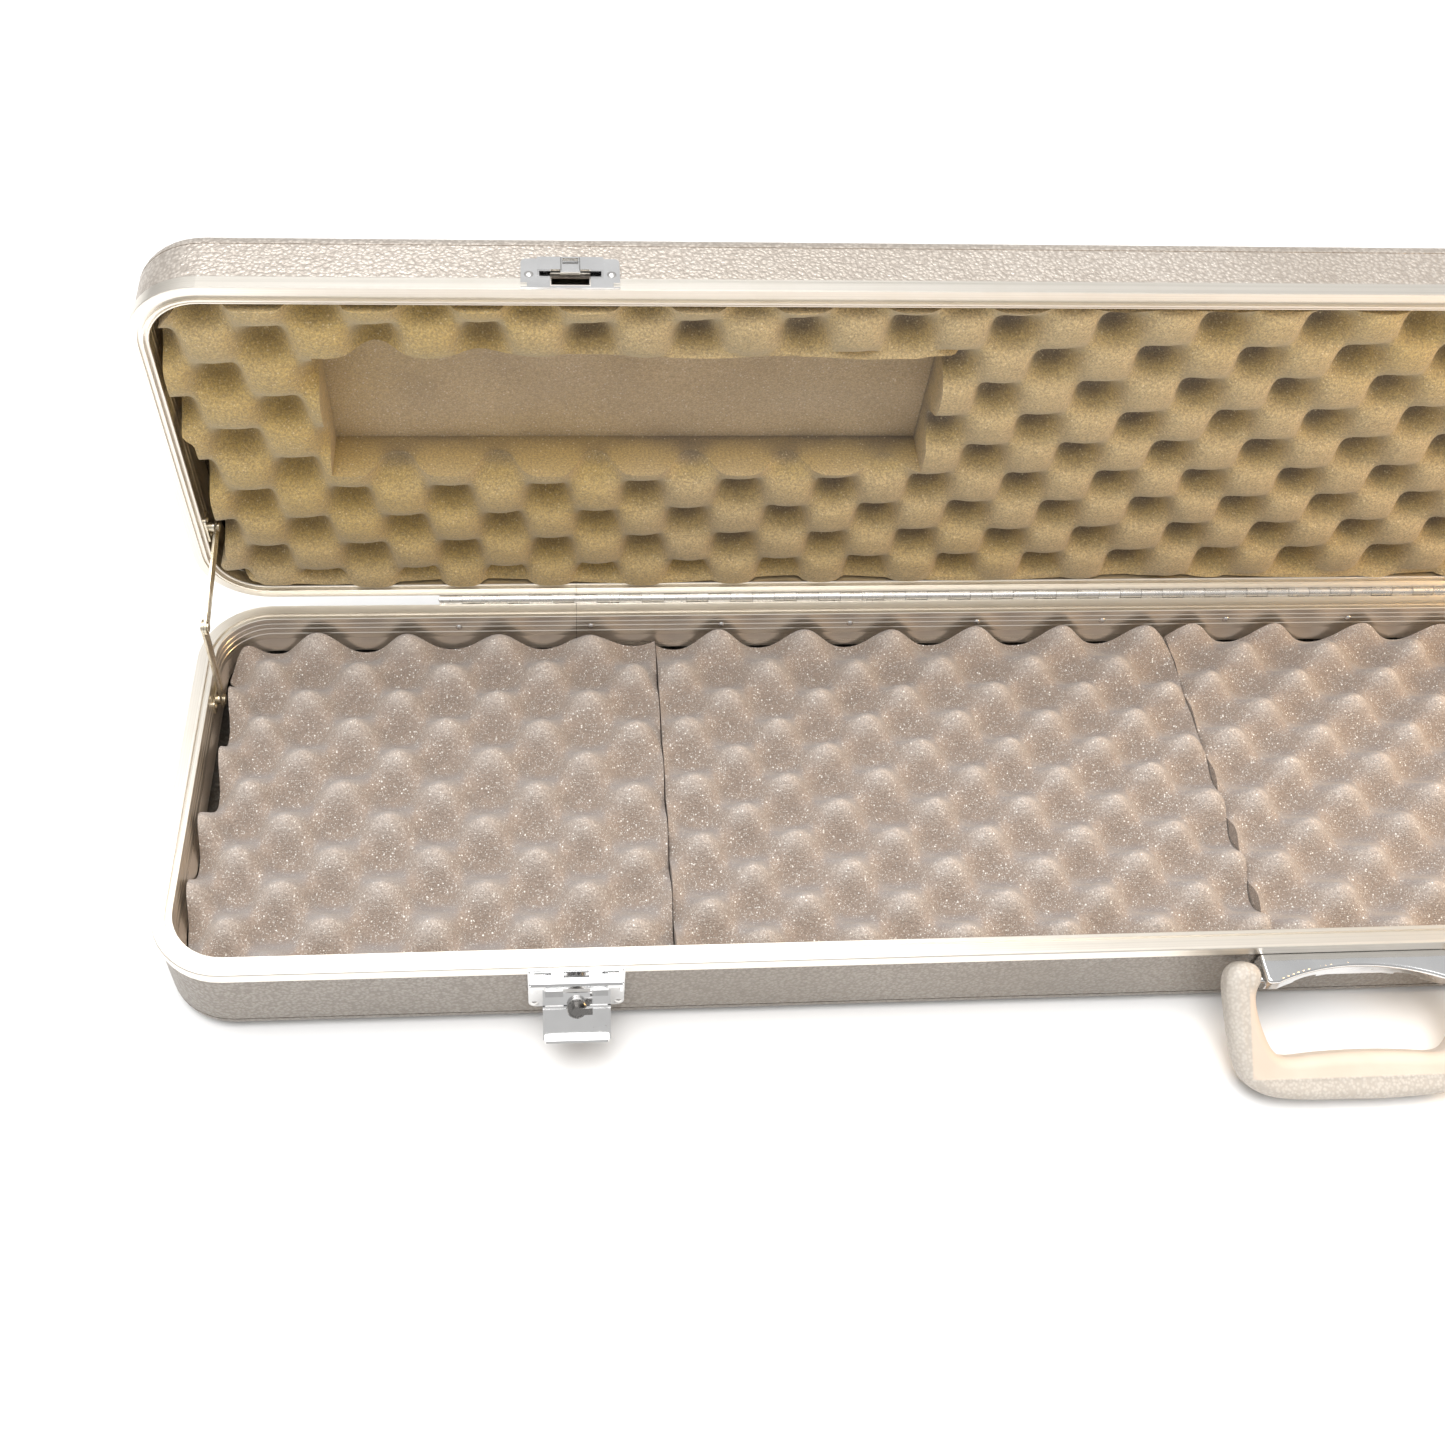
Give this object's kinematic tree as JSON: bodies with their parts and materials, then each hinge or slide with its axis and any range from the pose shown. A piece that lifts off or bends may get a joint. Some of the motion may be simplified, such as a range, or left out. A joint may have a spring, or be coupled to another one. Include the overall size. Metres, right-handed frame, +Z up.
{
  "type": "aluminum attache case",
  "caption": "Long shallow hard case, open, with pebbled metal shells, satin rim frames, full-length piano hinge, folding lid stays, flip latches, carry handle and egg-crate foam.",
  "frame": {"origin": "centre of the base tub's footprint, on its underside", "axes": "+Z up, +X to the right along the length, +Y towards the hinge at the back"},
  "size_m": [1.172, 0.3301, 0.2928],
  "materials": {
    "pebbled_skin": "pebble-embossed satin",
    "satin_frame": "satin anodised",
    "hinge_aluminium": "mill",
    "rivet_steel": "bright",
    "latch_chrome": "polished",
    "lock_dark": "polished, dark",
    "stay_brass": "satin",
    "handle_plastic": "grained",
    "grey_foam": "open-cell foam",
    "tan_foam": "open-cell foam",
    "backer_foam": "open-cell foam"
  },
  "bodies": {
    "base": {"base_shell": "pebbled_skin", "base_frame": "satin_frame", "hinge_base_leaf": "hinge_aluminium", "hinge_pin": "hinge_aluminium", "hinge_rivets_base": "rivet_steel", "base_foam_1": "grey_foam", "base_foam_2": "grey_foam", "base_foam_3": "grey_foam", "base_foam_4": "grey_foam", "latch_rivets": "latch_chrome", "handle_plate": "latch_chrome", "handle_pins": "latch_chrome", "handle_screws": "latch_chrome", "stay_base_stud_l": "stay_brass", "stay_base_stud_r": "stay_brass", "latch_body_l": "latch_chrome", "latch_body_r": "latch_chrome", "latch_pin_l": "latch_chrome", "latch_pin_r": "latch_chrome"},
    "lid": {"lid_shell": "pebbled_skin", "lid_frame": "satin_frame", "hinge_lid_leaf": "hinge_aluminium", "hinge_rivets_lid": "rivet_steel", "keeper_l": "latch_chrome", "keeper_r": "latch_chrome", "keeper_rivets": "latch_chrome", "lid_foam": "tan_foam", "lid_foam_backer": "backer_foam", "stay_lid_stud_l": "stay_brass", "stay_lid_stud_r": "stay_brass"},
    "handle": {"handle_grip": "handle_plastic"},
    "stay_lower_l": {"stay_lower_arm_l": "stay_brass", "stay_elbow_rivet_l": "stay_brass"},
    "stay_upper_l": {"stay_upper_arm_l": "stay_brass"},
    "lever_l": {"latch_lever_l": "latch_chrome"},
    "barrel_l": {"lock_barrel_l": "lock_dark"},
    "stay_lower_r": {"stay_lower_arm_r": "stay_brass", "stay_elbow_rivet_r": "stay_brass"},
    "stay_upper_r": {"stay_upper_arm_r": "stay_brass"},
    "lever_r": {"latch_lever_r": "latch_chrome"},
    "barrel_r": {"lock_barrel_r": "lock_dark"}
  },
  "joints": [
    {"name": "lid_hinge", "type": "hinge", "parent": "base", "child": "lid", "pos_m": [0, 0.1179, 0.0551], "axis": [1, 0, 0], "range_deg": [-5, 85]},
    {"name": "handle_hinge", "type": "hinge", "parent": "base", "child": "handle", "pos_m": [0, -0.1244, 0.0412], "axis": [-1, 0, 0], "range_deg": [-48, 120]},
    {"name": "stay_lower_l", "type": "hinge", "parent": "base", "child": "stay_lower_l", "pos_m": [-0.572, 0.0595, 0.04134], "axis": [1, 0, 0], "range_deg": [-5, 85]},
    {"name": "stay_upper_l", "type": "hinge", "parent": "lid", "child": "stay_upper_l", "pos_m": [-0.57065, 0.1179, 0.1151], "axis": [1, 0, 0], "range_deg": [-85, 5]},
    {"name": "latch_lever_l", "type": "hinge", "parent": "base", "child": "lever_l", "pos_m": [-0.384, -0.1197, 0.046], "axis": [-1, 0, 0], "range_deg": [0, 135]},
    {"name": "lock_barrel_l", "type": "hinge", "parent": "lever_l", "child": "barrel_l", "pos_m": [-0.384, -0.12373, 0.03377], "axis": [0, 0.7071, -0.7071], "range_deg": [0, 90]},
    {"name": "stay_lower_r", "type": "hinge", "parent": "base", "child": "stay_lower_r", "pos_m": [0.572, 0.0595, 0.04134], "axis": [1, 0, 0], "range_deg": [-5, 85]},
    {"name": "stay_upper_r", "type": "hinge", "parent": "lid", "child": "stay_upper_r", "pos_m": [0.57065, 0.1179, 0.1151], "axis": [1, 0, 0], "range_deg": [-85, 5]},
    {"name": "latch_lever_r", "type": "hinge", "parent": "base", "child": "lever_r", "pos_m": [0.384, -0.1197, 0.046], "axis": [-1, 0, 0], "range_deg": [0, 135]},
    {"name": "lock_barrel_r", "type": "hinge", "parent": "lever_r", "child": "barrel_r", "pos_m": [0.384, -0.12373, 0.03377], "axis": [0, 0.7071, -0.7071], "range_deg": [0, 90]}
  ],
  "couplings": [
    {"joint": "stay_lower_l", "follows": "lid_hinge", "ratio": 1},
    {"joint": "stay_upper_l", "follows": "lid_hinge", "ratio": -1},
    {"joint": "stay_lower_r", "follows": "lid_hinge", "ratio": 1},
    {"joint": "stay_upper_r", "follows": "lid_hinge", "ratio": -1}
  ]
}
